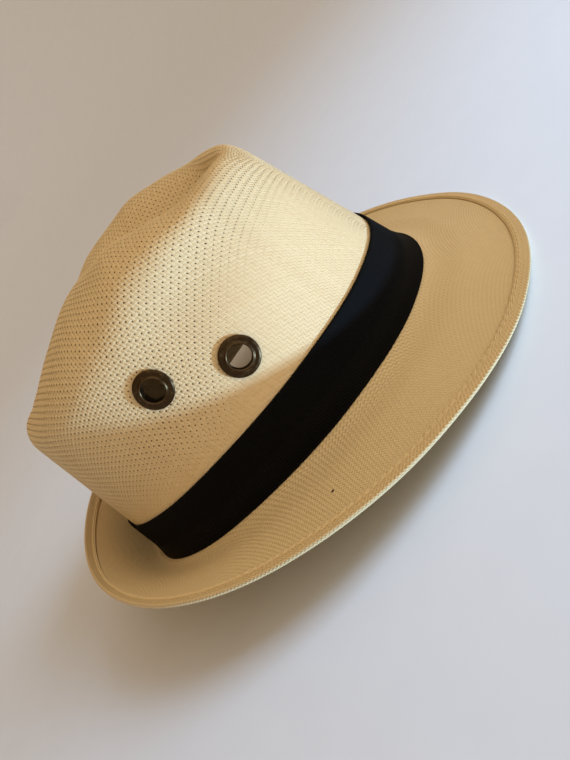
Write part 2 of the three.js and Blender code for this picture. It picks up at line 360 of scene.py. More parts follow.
def dress(piece, slot, *nodes, finish=None):
    """A piece takes its finish, rides with the hat and stands for its CAD nodes. The slot is not used."""
    if finish:
        piece.data.materials.append(finish)
    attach(piece, "root")
    if nodes:
        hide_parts(*nodes)


# %% [markdown]
# ## The crown as a sheet that can be looked up
# To lay things on the crown, each meridian is measured from the ridge line outward and sampled at
# equal shares of its length. A point of the crown is then a turn and a share, and it is read from
# the sampled sheet between four others. Seen from above, the meridians fan out from the ridge line,
# so a plan with true distances along the fan is a second way to name the same points.

# %% Crown sheet
SHEET_TURNS = np.arange(0, 361, 1.0)
SHEET_SHARES = np.linspace(0, 1, 301)
TOP_SAMPLES, WALL_SAMPLES, TOP_CROWDING = 1200, 200, 8  # points of a meridian, crowded at the shoulder
HALVINGS = 32


def sample_crown():
    """Points and normals of the crown on a grid of turns and equal shares of meridian length."""
    inward = np.linspace(1, 0, TOP_SAMPLES) ** TOP_CROWDING
    steps = np.concatenate([1 + inward, np.linspace(1, 0, WALL_SAMPLES)[1:]])
    points = crown_point(SHEET_TURNS[:, None], steps)
    run = np.linalg.norm(np.diff(points, axis=1), axis=-1)
    run = np.concatenate([np.zeros((len(points), 1)), np.cumsum(run, axis=1)], 1)
    length = run[:, -1]
    even = np.stack([
        np.stack([np.interp(SHEET_SHARES * total, far, line[:, k]) for k in range(3)], -1)
        for total, far, line in zip(length, run, points)])
    looped = np.concatenate([even[-2:-1], even, even[1:2]])
    normal = np.cross(looped[2:] - looped[:-2], -np.gradient(even, axis=1))
    normal[:, 0] = normal[:, 1]
    normal[:, 0, 0] = 0
    return even, unit(normal), length


crown_places, crown_normals, crown_lengths = sample_crown()


def look_up(sheet, turn, share):
    """Bilinear reading of a sheet at any turn and share."""
    t = np.mod(turn, 360)
    s = np.clip(share, 0, 1) * (len(SHEET_SHARES) - 1)
    i = np.clip(np.floor(t).astype(int), 0, 359)
    j = np.clip(np.floor(s).astype(int), 0, len(SHEET_SHARES) - 2)
    t, s = (t - i)[..., None], (s - j)[..., None]
    low = sheet[i, j] * (1 - s) + sheet[i, j + 1] * s
    high = sheet[i + 1, j] * (1 - s) + sheet[i + 1, j + 1] * s
    return low * (1 - t) + high * t


def fan_line(turn):
    """Start on the ridge line and plan direction of the meridian at a turn."""
    start = spine_y(turn)
    rim = on_oval(wall_oval(SHOULDER_HEIGHT), turn, 0.0)
    way = np.stack([rim[..., 0], rim[..., 1] - start], -1)
    return start, unit(way)


def plan_to_crown(x, y):
    """Turn and share of a point of the plan. The turn is found by halving: the point lies on the
    meridian whose plan line from the ridge passes through it. The share is its distance."""
    low, high = np.zeros_like(x), np.full_like(x, 180.0)
    for _ in range(HALVINGS):
        turn = (low + high) / 2
        start, way = fan_line(turn)
        behind = way[..., 0] * (y - start) - way[..., 1] * np.abs(x) > 0
        low, high = np.where(behind, turn, low), np.where(behind, high, turn)
    turn = (low + high) / 2
    far = np.hypot(x, y - spine_y(turn))
    share = far / np.interp(turn, SHEET_TURNS, crown_lengths)
    return np.where(x < 0, 360 - turn, turn), share


print("meridian length in mm, front, side, back:", crown_lengths[[0, 90, 180]].round(1))

# %% [markdown]
# ## How the cloth lies on the crown
# The crown was a flat cloth that was pressed over a block. Cloth hardly stretches along its threads,
# but its squares shear into diamonds, and that is how it follows a round shape: the threads of the
# hat run level along its sides and slant down into the front. A net of springs finds that by itself.
# Each knot of a coarse net is moved until its four threads have their own length, and evened out
# against its neighbours. Then the net is made twice as fine and moved again.

# %% Draped net
PLAN_STEP, PLAN_REACH = 2.0, 260  # mm, table of the crown over its plan
NET_STEP, NET_KNOTS = 24.0, 8  # mm between the first knots, and knots on either side of the middle
NET_MIDDLE = -6.0  # mm, where the middle cross thread meets the ridge line
NET_ROUNDS = (300, 300, 80)  # at each fineness
NET_EVEN = 0.05  # how much a knot follows its neighbours
NET_SLACK = 0.2  # stiffness of a thread that is pushed together, where 1 is one that is pulled
NET_PACE, NET_STRIDE = 0.4, 0.25  # part of a move that is made, and its limit in steps of the net


def plan_table():
    """Crown points over a square grid of the plan. Past the crown's end they run straight down."""
    line = np.arange(-PLAN_REACH, PLAN_REACH + PLAN_STEP / 2, PLAN_STEP)
    turn, share = plan_to_crown(*np.meshgrid(line, line, indexing="ij"))
    place = look_up(crown_places, turn, share)
    place[..., 2] -= np.maximum(share - 1, 0) * np.interp(turn, SHEET_TURNS, crown_lengths)
    return place


def read_table(table, reach, step, at):
    """Bilinear reading of a square table at places (x, y), with its slopes along x and along y."""
    s = np.clip((at + reach) / step, 0, len(table) - 1.001)
    i, j = np.moveaxis(np.floor(s).astype(int), -1, 0)
    f, g = s[..., :1] - i[..., None], s[..., 1:] - j[..., None]
    a, b, c, d = table[i, j], table[i + 1, j], table[i, j + 1], table[i + 1, j + 1]
    along_x, along_y = (b - a) * (1 - g) + (d - c) * g, (c - a) * (1 - f) + (d - b) * f
    return a + (b - a) * f + along_y * g, along_x / step, along_y / step


def differences(knots, axis, change=lambda gap: gap):
    """Sum over a knot's two neighbours along an axis of the changed vector towards each."""
    gap = np.moveaxis(change(np.diff(knots, axis=axis)), axis, 0)
    total = np.concatenate([gap, 0 * gap[:1]]) - np.concatenate([0 * gap[:1], gap])
    return np.moveaxis(total, 0, axis)


def settle(table, knots, step, rounds):
    """Moves knots of the plan. Spring pull: each thread's length less the net's step. The pull is
    turned into a move of the plan by least squares on the surface's two slopes."""
    def spring(gap):
        strain = 1 - step / np.maximum(np.linalg.norm(gap, axis=-1, keepdims=True), 1e-6)
        return gap * np.where(strain < 0, NET_SLACK * strain, strain)

    for _ in range(rounds):
        place, along_x, along_y = read_table(table, PLAN_REACH, PLAN_STEP, knots)
        pull = differences(place, 0, spring) + differences(place, 1, spring)
        xx, yy = (along_x ** 2).sum(-1) + 1e-3, (along_y ** 2).sum(-1) + 1e-3
        xy, x, y = (along_x * along_y).sum(-1), (along_x * pull).sum(-1), (along_y * pull).sum(-1)
        move = np.stack([yy * x - xy * y, xx * y - xy * x], -1) / (xx * yy - xy ** 2)[..., None]
        size = np.linalg.norm(move, axis=-1, keepdims=True)
        stride = np.minimum(1, NET_STRIDE * step / np.maximum(size, 1e-9))
        knots = knots + NET_PACE * move * stride
        inner = np.zeros_like(knots)
        inner[1:-1] += differences(knots, 0)[1:-1]
        inner[:, 1:-1] += differences(knots, 1)[:, 1:-1]
        knots = knots + NET_EVEN * inner
    return knots


def twice_as_fine(knots):
    """New knots between the old ones, on a cubic through four, first along one axis, then the other."""
    for axis in (0, 1):
        old = np.moveaxis(knots, axis, 0)
        fine = np.empty((2 * len(old) - 1, *old.shape[1:]))
        fine[::2] = old
        fine[1::2] = (old[1:] + old[:-1]) / 2
        fine[3:-3:2] = (9 * (old[1:-2] + old[2:-1]) - old[:-3] - old[3:]) / 16
        knots = np.moveaxis(fine, 0, axis)
    return knots


def drape():
    """Plan places of the knots of a fine square net of cloth, and the step of that net."""
    table = plan_table()
    line = np.arange(-NET_KNOTS, NET_KNOTS + 1) * NET_STEP
    knots = np.stack(np.meshgrid(line, line + NET_MIDDLE, indexing="ij"), -1)
    step = NET_STEP
    for rounds in NET_ROUNDS:
        knots = twice_as_fine(settle(table, knots, step, rounds))
        step /= 2
    place = read_table(table, PLAN_REACH, PLAN_STEP, knots)[0]
    on_crown = plan_to_crown(knots[..., 0], knots[..., 1])[1] < 1
    pitch = np.linalg.norm(np.diff(place, axis=0), axis=-1)[on_crown[1:]] / step
    print("draped net:", knots.shape[:2])
    print("thread stretch:", pitch.mean().round(3), "+-", pitch.std().round(3))
    return knots, step


net, net_step = drape()


def cloth_to_crown(x, y):
    """Turn and share of a point of the flat cloth, by way of its place in the plan."""
    reach = NET_KNOTS * NET_STEP
    at = read_table(net, reach, net_step, np.stack(np.broadcast_arrays(x, y), -1))[0]
    return plan_to_crown(at[..., 0], at[..., 1])


# %% [markdown]
# ## Node helpers for the finishes
# A finish is a small graph of shader nodes. These helpers add a node, set its plain values and link
# its inputs in one call, so that each material below reads as a recipe.

# %% Node helpers
class Recipe:
    """Adds nodes to a tree and links them. An input given as a socket is linked, else it is set."""

    def __init__(self, tree):
        self.tree = tree

    def fill(self, node, inputs):
        for key, value in inputs.items():
            if isinstance(value, bpy.types.NodeSocket):
                self.tree.links.new(value, node.inputs[key])
            else:
                node.inputs[key].default_value = value
        return node

    def add(self, kind, inputs=None, **settings):
        node = self.tree.nodes.new(kind)
        for key, value in settings.items():
            setattr(node, key, value)
        return self.fill(node, inputs or {})

    def math(self, operation, a, b=0.0, c=0.0, clamp=False):
        node = self.add("ShaderNodeMath", {0: a, 1: b, 2: c}, operation=operation, use_clamp=clamp)
        return node.outputs[0]

    def plus(self, a, b, clamp=False):
        return self.math("ADD", a, b, clamp=clamp)

    def minus(self, a, b):
        return self.math("SUBTRACT", a, b)

    def times(self, a, b, plus=0.0):
        return self.math("MULTIPLY_ADD", a, b, plus)

    def span(self, value, low, high, start=0.0, stop=1.0):
        """Low becomes start and high becomes stop, evenly between them."""
        sockets = {0: value, 1: low, 2: high, 3: start, 4: stop}
        return self.add("ShaderNodeMapRange", sockets).outputs[0]

    def blend(self, mask, first, second):
        return self.add("ShaderNodeMix", {0: mask, 6: first, 7: second}, data_type="RGBA").outputs[2]

    def noise(self, vector, scale, detail=3.0, roughness=0.5):
        sockets = {"Vector": vector, "Scale": scale, "Detail": detail, "Roughness": roughness}
        return self.add("ShaderNodeTexNoise", sockets).outputs["Fac"]

    def bump(self, height, distance):
        sockets = {"Height": height, "Distance": distance, "Strength": 1.0}
        return self.add("ShaderNodeBump", sockets).outputs["Normal"]

    def parts(self, vector):
        return self.add("ShaderNodeSeparateXYZ", {0: vector}).outputs

    def cloth(self):
        return self.add("ShaderNodeUVMap", uv_map="cloth").outputs["UV"]


def new_finish(name):
    """An empty material with its recipe, its Principled shader and its object coordinates."""
    finish = bpy.data.materials.new(name)
    finish.use_nodes = True
    recipe = Recipe(finish.node_tree)
    shader = finish.node_tree.nodes["Principled BSDF"]
    return finish, recipe, shader, recipe.add("ShaderNodeTexCoord").outputs["Object"]


def new_group(name, inputs, outputs):
    """An empty node group with these sockets, its recipe and its inputs."""
    tree = bpy.data.node_groups.new(name, "ShaderNodeTree")
    for way, sockets in (("INPUT", inputs), ("OUTPUT", outputs)):
        for key, kind in sockets.items():
            tree.interface.new_socket(name=key, in_out=way, socket_type="NodeSocket" + kind)
    recipe = Recipe(tree)
    return tree, recipe, recipe.add("NodeGroupInput").outputs


def colour(red, green, blue):
    return (red, green, blue, 1.0)


# %% [markdown]
# ## Straw
# Straw is a dull, slightly waxy fibre: pale where the light is strong and tan in the shade. The
# same fibre is in every woven piece, so its colour is one node group: a base tone, long soft clouds
# of a darker tone where the hat has been handled, a fine fibre grain, and a tone that each finish
# passes in: random for each crown thread, and darker in the hollows of the weaves and in the split
# of the yarns, as painted shade.

# %% Straw group
STRAW_PALE, STRAW_DARK = colour(0.76, 0.60, 0.33), colour(0.62, 0.445, 0.21)
CLOUDS, GRAIN = 22.0, 900.0  # noise scales, per metre


def straw_group():
    tree, recipe, inside = new_group(
        "straw_fibre", {"Place": "Vector", "Tone": "Float"}, {"Colour": "Color", "Roughness": "Float"})
    cloud = recipe.noise(inside["Place"], CLOUDS, 2.0)
    grain = recipe.noise(inside["Place"], GRAIN, 2.0)
    mixed = recipe.plus(recipe.times(cloud, 0.5, -0.12), recipe.times(grain, 0.22))
    mixed = recipe.plus(mixed, inside["Tone"], clamp=True)
    shade = recipe.blend(mixed, STRAW_PALE, STRAW_DARK)
    recipe.add("NodeGroupOutput", {"Colour": shade, "Roughness": recipe.times(grain, 0.2, 0.5)})
    return tree


STRAW_FIBRE = straw_group()


def straw_skin(recipe, shader, place, tone, height, depth):
    """Straw of a tone on a shader, with a bump from a height and its depth in metres."""
    node = recipe.add("ShaderNodeGroup", {"Place": place, "Tone": tone}, node_tree=STRAW_FIBRE)
    tint, rough = node.outputs["Colour"], node.outputs["Roughness"]
    recipe.fill(shader, {"Base Color": tint, "Roughness": rough, "Normal": recipe.bump(height, depth)})
    return tint


# %% [markdown]
# ## Fine cloth
# The brim and the inside of the crown are a close weave, too fine to build strand by strand, so it
# is a bump: two sets of round threads that take turns on top, like squares on a chessboard.

# %% Fine weave group
WEAVE_BUMP = 0.0003  # metres


def weave_group():
    """Height of the weave where along and across count threads: the absolute sine of one on odd
    squares of the board, and of the other on even squares."""
    tree, recipe, inside = new_group(
        "fine_weave", {"Along": "Float", "Across": "Float"}, {"Height": "Float"})
    ways = [inside["Along"], inside["Across"]]
    waves = [recipe.math("SINE", recipe.times(way, math.pi)) for way in ways]
    along, across = (recipe.math("ABSOLUTE", wave) for wave in waves)
    square = recipe.plus(*(recipe.math("FLOOR", way) for way in ways))
    odd = recipe.math("FLOORED_MODULO", square, 2.0)
    height = recipe.plus(recipe.times(along, odd), recipe.times(across, recipe.minus(1.0, odd)))
    recipe.add("NodeGroupOutput", {"Height": height})
    return tree


FINE_WEAVE = weave_group()


def fine_weave(recipe, along, across):
    node = recipe.add("ShaderNodeGroup", {"Along": along, "Across": across}, node_tree=FINE_WEAVE)
    return node.outputs["Height"]


# %% [markdown]
# ## The crown's shell
# Behind the open weave there is the thickness of the straw. The shell fills it: a closed wall whose
# outside lies just under the threads and is coloured dark brown as painted shade, because it is what
# shows through the pin holes, and whose inside is the smooth face that a wearer sees. Holes for the
# eyelets are cut with a Boolean modifier, because a round cut through a grid is easier than a grid
# around a round hole.

# %% Crown shell
SHELL_COLUMNS, SHELL_ROWS = 240, 100
SHELL_DEPTH = 1.0  # outside of the shell, under the crown's surface
EYELET_ROWS = {"front": (66, 49.1), "rear": (86, 67.9)}  # turn and height on either side
EYELET_HOLE, EYELET_BARREL, EYELET_FLANGE, EYELET_WASHER = 5.1, 5.8, 8.8, 7.4  # radii
DRUM_SIDES, DRUM_REACH, DRUM_CORE = 48, 8, 0.01  # drums that cut the holes


def eyelet_seat(turn, height):
    """Place on the crown's wall and outward axis of an eyelet."""
    seam = float(brim_row("foot", turn)) + SEAM_HEIGHT
    step = (height - seam) / (SHOULDER_HEIGHT - seam)
    around = crown_point(turn + 0.5, step) - crown_point(turn - 0.5, step)
    along = crown_point(turn, step + SLOPE_STEP) - crown_point(turn, step - SLOPE_STEP)
    return crown_point(turn, step), unit(np.cross(around, along))


EYELET_SEATS = {
    f"eyelet_{side}_{name}": eyelet_seat(sign * turn, height)
    for name, (turn, height) in EYELET_ROWS.items()
    for side, sign in (("right", -1), ("left", 1))
}


def turned(section, sides):
    """Surface of revolution of a closed section of (radius, height) about +Z."""
    radius, height = np.array(section, float).T
    angle = np.arange(sides) * 2 * np.pi / sides
    x, y = radius[:, None] * np.cos(angle), radius[:, None] * np.sin(angle)
    return np.stack([x, y, np.broadcast_to(height[:, None], x.shape)], -1)


def stand_on(points, seat):
    """Carries points made about +Z to a seat, with +Z along its axis."""
    place, axis = seat
    side = unit(np.cross([0, 0, 1], axis))
    return place + points @ np.stack([side, np.cross(axis, side), axis])


def make_shell():
    """Closed wall: rows of the outside down from the ridge, then of the inside back up. A face that
    lies behind the threads is marked for the painted shade."""
    turns, shares = even_turns(SHELL_COLUMNS), np.linspace(0, 1, SHELL_ROWS)
    surface = look_up(crown_places, turns, shares[:, None])
    normal = look_up(crown_normals, turns, shares[:, None])
    points = np.concatenate([surface - normal * SHELL_DEPTH, (surface - normal * STRAW)[::-1]])
    faces, rows, columns = grid_quads(2 * SHELL_ROWS, SHELL_COLUMNS, False, True)
    share = np.concatenate([shares, shares[::-1]])[rows]
    turn = np.radians((columns + 0.5) * 360 / SHELL_COLUMNS)
    reach = share * np.interp(np.degrees(turn) % 360, SHEET_TURNS, crown_lengths)
    uv = np.stack([reach * np.sin(turn), -reach * np.cos(turn)], -1)
    flat, faces = weld(points.reshape(-1, 3), faces)
    hidden = (rows[:, 0] < SHELL_ROWS - 1).astype(np.int32)
    return make_piece("crown_shell", flat, faces, uv), hidden


def cut_eyelet_holes(piece):
    """Boolean difference with four short drums, applied."""
    wide = EYELET_BARREL + GAP
    section = [(wide, -DRUM_REACH), (wide, DRUM_REACH), (DRUM_CORE, DRUM_REACH), (DRUM_CORE, -DRUM_REACH)]
    drum = turned(section, DRUM_SIDES).reshape(-1, 3)
    faces, _, _ = grid_quads(len(section), DRUM_SIDES, True, True)
    points = [stand_on(drum, seat) for seat in EYELET_SEATS.values()]
    faces = [faces + k * len(drum) for k in range(len(points))]
    drums = make_piece("eyelet_drums", np.concatenate(points), np.concatenate(faces))
    cut = piece.modifiers.new("eyelet_holes", "BOOLEAN")
    cut.operation, cut.solver, cut.object = "DIFFERENCE", "EXACT", drums
    graph = bpy.context.evaluated_depsgraph_get()
    solid = bpy.data.meshes.new_from_object(piece.evaluated_get(graph))
    piece.modifiers.clear()
    piece.data = solid
    bpy.data.objects.remove(drums)
    print(f"{piece.name}: holes cut, {len(solid.polygons)} faces")


shell, painted_shade_faces = make_shell()


# %% Crown shell finishes
INSIDE_PITCH = 1.1  # mm between threads


def painted_shade_finish():
    """Painted shade between the threads: the shell's outside is coloured dark brown for the deep shade in
    the pin holes, warmed as painted light coming through the straw.
    """
    finish, recipe, shader, place = new_finish("straw_painted_shade")
    noise = recipe.noise(place, 300.0)
    tint = recipe.blend(noise, colour(0.06, 0.020, 0.004), colour(0.14, 0.048, 0.010))
    recipe.fill(shader, {"Base Color": tint, "Roughness": 0.9, "Specular IOR Level": 0.1})
    return finish


def inside_finish():
    """The face that a wearer sees: a close weave, with painted shade in its hollows."""
    finish, recipe, shader, place = new_finish("straw_inside")
    parts = recipe.parts(recipe.cloth())
    height = fine_weave(recipe, *(recipe.math("DIVIDE", parts[way], INSIDE_PITCH) for way in "XY"))
    # Painted shade: the hollows of the weave are coloured darker.
    tone = recipe.times(recipe.minus(1.0, height), 0.35)
    straw_skin(recipe, shader, place, tone, height, WEAVE_BUMP)
    return finish


# The inside takes the weave; the faces behind the threads take the painted shade.
for finish in (inside_finish(), painted_shade_finish()):
    shell.data.materials.append(finish)
shell.data.polygons.foreach_set("material_index", painted_shade_faces[: len(shell.data.polygons)])
cut_eyelet_holes(shell)

# %% [markdown]
# ## The crown's threads
# The crown is a basket weave of doubled yarns. Each thread goes over and under the threads that
# cross it, and sways a little, so that every second corner between threads opens into a pin hole.
# Blocking has stretched the weave open round the shoulder, while low in front it stays closed.
# Painting this on would look flat in low light, so each thread is a narrow domed ribbon with real
# height. The split between its two yarns is finer, and is left to the finish, which paints it darker
# as shade.

# %% Thread sizes
THREAD_PITCH = 1.8  # mm on the flat cloth
THREAD_COUNT = int(186 / THREAD_PITCH)  # on either side of the middle, past every edge
OPEN_WIDTH, CLOSED_WIDTH = 0.380, 0.492  # half width of a thread, as a part of the pitch
OPEN_FRONT, OPEN_SIDE, OPEN_RISE = 52, 16, 36  # mm, height where the weave starts to open, and its run
FRONT_END, SIDE_START = 40, 85  # turns
SWAY = 0.095  # mm that a thread moves aside to open every second hole
STRAY = 0.05  # mm that a thread strays by chance at each crossing
WAVE = 0.22  # mm that a thread rises and falls
DOME = 0.15  # mm that a thread's middle stands above its edges
PRESSED = 0.25  # part of wave and dome that is left where the weave is closed
THREAD_LEVEL = -0.30  # mm, middle of the weave below the crown's surface
THREAD_END = 0.985  # share of the meridian where threads end, behind the band
EYELET_CLEAR, EYELET_REACH = 6.7, 9  # mm round and along an eyelet's axis that the threads leave free


def ease(value, start, stop):
    """Smooth step from 0 to 1 between two values."""
    t = np.clip((value - start) / (stop - start), 0, 1)
    return t * t * (3 - 2 * t)


def openness(place):
    """How far the weave is stretched open: it opens with height, and later in front."""
    side = side_turn(np.degrees(np.arctan2(place[..., 0], -place[..., 1])))
    start = OPEN_FRONT + (OPEN_SIDE - OPEN_FRONT) * ease(side, FRONT_END, SIDE_START)
    return ease(place[..., 2], start, start + OPEN_RISE)


def on_cloth(across, along, warp):
    return (across, along) if warp else (along, across)


def crown_ribbons(thread, warp, chance):
    """Ribbons of a set of threads. Across a thread: its number times the pitch, less a sine sway and
    a chance part, with an edge on either side. Height: a cosine wave, less the dome at the edges."""
    thread = thread[:, None, None]
    along = np.arange(-2 * THREAD_COUNT, 2 * THREAD_COUNT + 1)[None, :, None] * THREAD_PITCH / 2
    sign = np.where(thread % 2 == 0, 1.0, -1.0)
    middle, along = np.broadcast_arrays(thread * THREAD_PITCH, along)
    wide = openness(look_up(crown_places, *cloth_to_crown(*on_cloth(middle, along, warp))))
    phase = np.pi * along / THREAD_PITCH
    edge = np.array([-1.0, 0.0, 1.0])
    half = THREAD_PITCH * (CLOSED_WIDTH + (OPEN_WIDTH - CLOSED_WIDTH) * wide)
    stray = STRAY * chance.normal(0, 1, middle.shape)
    across = middle - wide * (SWAY * sign * np.sin(phase) + stray) + edge * half
    rise = (1 if warp else -1) * sign * np.cos(phase)
    lift = THREAD_LEVEL + (PRESSED + (1 - PRESSED) * wide) * (WAVE * rise - DOME * edge ** 2)
    return across, np.broadcast_to(along, across.shape), lift


# %% Crown threads
def keep_on_crown(place, share):
    """True for ribbon points that lie on the open crown, clear of the eyelets."""
    kept = share < THREAD_END
    for middle, axis in EYELET_SEATS.values():
        away = place - middle
        level = away @ axis
        radius = np.linalg.norm(away - level[..., None] * axis, axis=-1)
        kept &= (radius > EYELET_CLEAR) | (np.abs(level) > EYELET_REACH)
    return kept


def make_threads(name, warp, first, last, seed):
    """One piece from a run of threads; quads off the crown and unused points are left out."""
    chance = np.random.default_rng(seed)
    across, along, lift = crown_ribbons(np.arange(first, last), warp, chance)
    turn, share = cloth_to_crown(*on_cloth(across, along, warp))
    place = look_up(crown_places, turn, share)
    kept = keep_on_crown(place, share)
    place = place + look_up(crown_normals, turn, share) * lift[..., None]
    number = np.arange(across.size).reshape(across.shape)
    corners = [number[:, :-1, :-1], number[:, :-1, 1:], number[:, 1:, 1:], number[:, 1:, :-1]]
    faces = np.stack(corners, -1).reshape(-1, 4)
    faces = faces[kept.ravel()[faces].all(1)]
    used, faces = np.unique(faces[:, ::-1] if warp else faces, return_inverse=True)
    faces = faces.reshape(-1, 4)
    tone = chance.normal(0, 1, (last - first, 1, 1))
    width = np.array([0.0, 0.5, 1.0])
    tone, width = (np.broadcast_to(part, across.shape).ravel()[used] for part in (tone, width))
    uv = np.stack([along.ravel()[used], width], -1)[faces]
    return make_piece(name, place.reshape(-1, 3)[used], faces, uv, tone)


def thread_finish():
    """Straw thread: two yarns with painted shade in the split between them, and fibres along both."""
    finish, recipe, shader, place = new_finish("crown_thread")
    cloth = recipe.cloth()
    off_split = recipe.math("ABSOLUTE", recipe.minus(recipe.parts(cloth)["Y"], 0.5))
    split = recipe.span(off_split, 0.14, 0.0)
    tone = recipe.add("ShaderNodeAttribute", attribute_name="tone").outputs["Fac"]
    # Each thread's own random tone, plus painted shade in the split between the yarns.
    tone = recipe.plus(recipe.times(tone, 0.10), recipe.times(split, 0.35))
    stretched = recipe.add("ShaderNodeMapping", {0: cloth, "Scale": (0.5, 6.0, 1.0)}).outputs[0]
    fibre = recipe.times(recipe.noise(stretched, 1.0, 2.0), 0.5)
    straw_skin(recipe, shader, place, tone, recipe.minus(fibre, split), 0.00012)
    return finish


THREAD_SETS = {
    "crown_warp_right": (True, -THREAD_COUNT, 0, 11),
    "crown_warp_left": (True, 0, THREAD_COUNT + 1, 12),
    "crown_weft_front": (False, -THREAD_COUNT, 0, 13),
    "crown_weft_back": (False, 0, THREAD_COUNT + 1, 14),
}
thread_look = thread_finish()
threads = [make_threads(name, *facts) for name, facts in THREAD_SETS.items()]
for piece in threads:
    dress(piece, "crown_straw", finish=thread_look)
dress(shell, "crown_straw", "crown")

# %% [markdown]
# ## The brim
# The brim is one closed sheet: it comes down behind the band, curls out and runs into a folded
# hem, which is a strip of the same cloth with a slot for the sheet. Sections are lists of (inset,
# lift) rows, where the inset is the distance from the brim's edge, so that the hem keeps its width
# all round. Close to the hem the sheet is drawn down by the sewing, and leaves a narrow dark groove.

# %% Brim sheet
BRIM_COLUMNS = 512
CURL_ROWS, FLAT_ROWS = 14, 30
HEM_WIDTH, HEM_LIFT, HEM_UNDER = 6.4, 0.45, -2.5
HEM_ROOM = 2  # mm between the hem and the last plain row of the sheet
GROOVE = [(1.3, 0), (0.9, -0.08), (0.5, -0.3), (0.1, -0.5), (-3.2, -0.5), (-3.2, -1.78), (0.5, -1.78)]
BRIM_PITCH, BRIM_MIDDLE = 1.25, 118  # mm between the brim's threads, at this radius
SMOOTH_START, SMOOTH_END = -0.03, 0.06  # metres behind the hat's middle
DARK_SPOT, DARK_SPOT_RADIUS = (-112.9, -35.2, 1.9), 0.75


def from_edge(turn, inset):
    """Step of the place on the brim at a distance in from its edge, by the brim's straight length."""
    return 3 - inset / np.linalg.norm(skirt_point(turn, 3.0) - skirt_point(turn, 2.0), axis=-1)


def make_brim():
    """Rows of the top from the collar to the hem, the groove's rows, and rows of the underside back."""
    turns = even_turns(BRIM_COLUMNS)
    collar = (BAND_HEIGHT - SEAM_HEIGHT + GAP) / (BAND_HEIGHT - CURL_HEIGHT)
    inner = np.concatenate([[collar], np.linspace(1, 2, CURL_ROWS)])
    outer = from_edge(turns, HEM_WIDTH + HEM_ROOM)
    flat = 2 + (outer - 2) * np.linspace(0, 1, FLAT_ROWS)[1:, None]
    walk = np.concatenate([np.broadcast_to(inner[:, None], (len(inner), BRIM_COLUMNS)), flat])
    inset, lift = np.array(GROOVE).T
    steps = np.concatenate([walk, from_edge(turns, HEM_WIDTH + inset[:, None]), walk[::-1]])
    lifts = np.concatenate([np.zeros(len(walk)), lift, np.full(len(walk), -STRAW)])
    points = skirt_offset(turns, steps, lifts[:, None])
    faces, _, _ = grid_quads(len(steps), BRIM_COLUMNS, True, True)
    return make_piece("brim_sheet", points, faces[:, ::-1])


def brim_finish():
    """Close weave of the brim, its hollows coloured darker as painted shade, with one small dark spot
    in the top near the right side. Steaming pulls the brim's threads into hyperbolas: they count x
    times y one way and x squared less y squared the other. Behind, the cloth is smoother, and there
    the painted shade leaves it darker overall."""
    finish, recipe, shader, place = new_finish("brim_cloth")
    parts = recipe.parts(place)
    x, y = parts["X"], recipe.minus(parts["Y"], REST_SHIFT[1] * MM)
    cell = BRIM_PITCH * BRIM_MIDDLE * MM ** 2
    squares = recipe.minus(recipe.times(x, x), recipe.times(y, y))
    along = recipe.math("DIVIDE", recipe.times(x, y), cell)
    height = fine_weave(recipe, along, recipe.math("DIVIDE", squares, 2 * cell))
    height = recipe.times(height, recipe.span(y, SMOOTH_END, SMOOTH_START, 0.3, 1.0))
    # Painted shade: low places of the weave are coloured darker; behind, where the weave is flatter, the
    # whole brim comes out darker.
    tone = recipe.times(recipe.minus(0.25, height), 0.8)
    tint = straw_skin(recipe, shader, place, tone, height, WEAVE_BUMP)
    # A small dark spot, in the colour only; the sheet has no hole there.
    spot = tuple(to_rest(np.array(DARK_SPOT)))
    far = recipe.add("ShaderNodeVectorMath", {0: place, 1: spot}, operation="DISTANCE")
    spot_mask = recipe.math("LESS_THAN", far.outputs["Value"], DARK_SPOT_RADIUS * MM)
    recipe.fill(shader, {"Base Color": recipe.blend(spot_mask, tint, colour(0.05, 0.025, 0.01))})
    return finish


brim = make_brim()
dress(brim, "brim_straw", "brim", finish=brim_finish())


# %% Hem
HEM_TOP = [(0, -0.3), (-0.02, 0.05), (-0.15, 0.3), (-0.45, HEM_LIFT), (-1.2, HEM_LIFT), (-2.2, HEM_LIFT),
           (-3.2, HEM_LIFT), (-4.2, HEM_LIFT), (-5.1, HEM_LIFT)]
HEM_NOSE = [(0.75, 0.43), (0.4, 0.35), (0.14, 0.15), (0, -0.15), (0.05, -0.5), (0.3, -1.0), (0.75, -1.6),
            (1.3, -2.1), (2.0, -2.4), (3.1, HEM_UNDER), (4.6, HEM_UNDER)]
HEM_SLOT = [(-0.4, HEM_UNDER), (0, -2.25), (0, -1.85), (-3.6, -1.85), (-3.6, -0.3)]
HEM_THREADS = 472  # threads on the bias round the hem


def make_hem():
    """Folded strip: its top, the nose and the underside, and the slot that holds the sheet."""
    top, slot = np.array(HEM_TOP) + [HEM_WIDTH, 0], np.array(HEM_SLOT) + [HEM_WIDTH, 0]
    section, turns = np.concatenate([top, np.array(HEM_NOSE), slot]), even_turns(BRIM_COLUMNS)
    inset, lift = section.T
    points = skirt_offset(turns, from_edge(turns, inset[:, None]), lift[:, None])
    faces, rows, columns = grid_quads(len(section), BRIM_COLUMNS, True, True)
    reach = np.linalg.norm(np.diff(section, axis=0, append=section[:1]), axis=-1)
    reach = np.concatenate([[0], np.cumsum(reach)])[rows] / (BRIM_PITCH * math.sqrt(2))
    around = columns / BRIM_COLUMNS * HEM_THREADS
    uv = np.stack([around + reach, around - reach], -1)
    return make_piece("brim_hem", points, faces[:, ::-1], uv[:, ::-1])


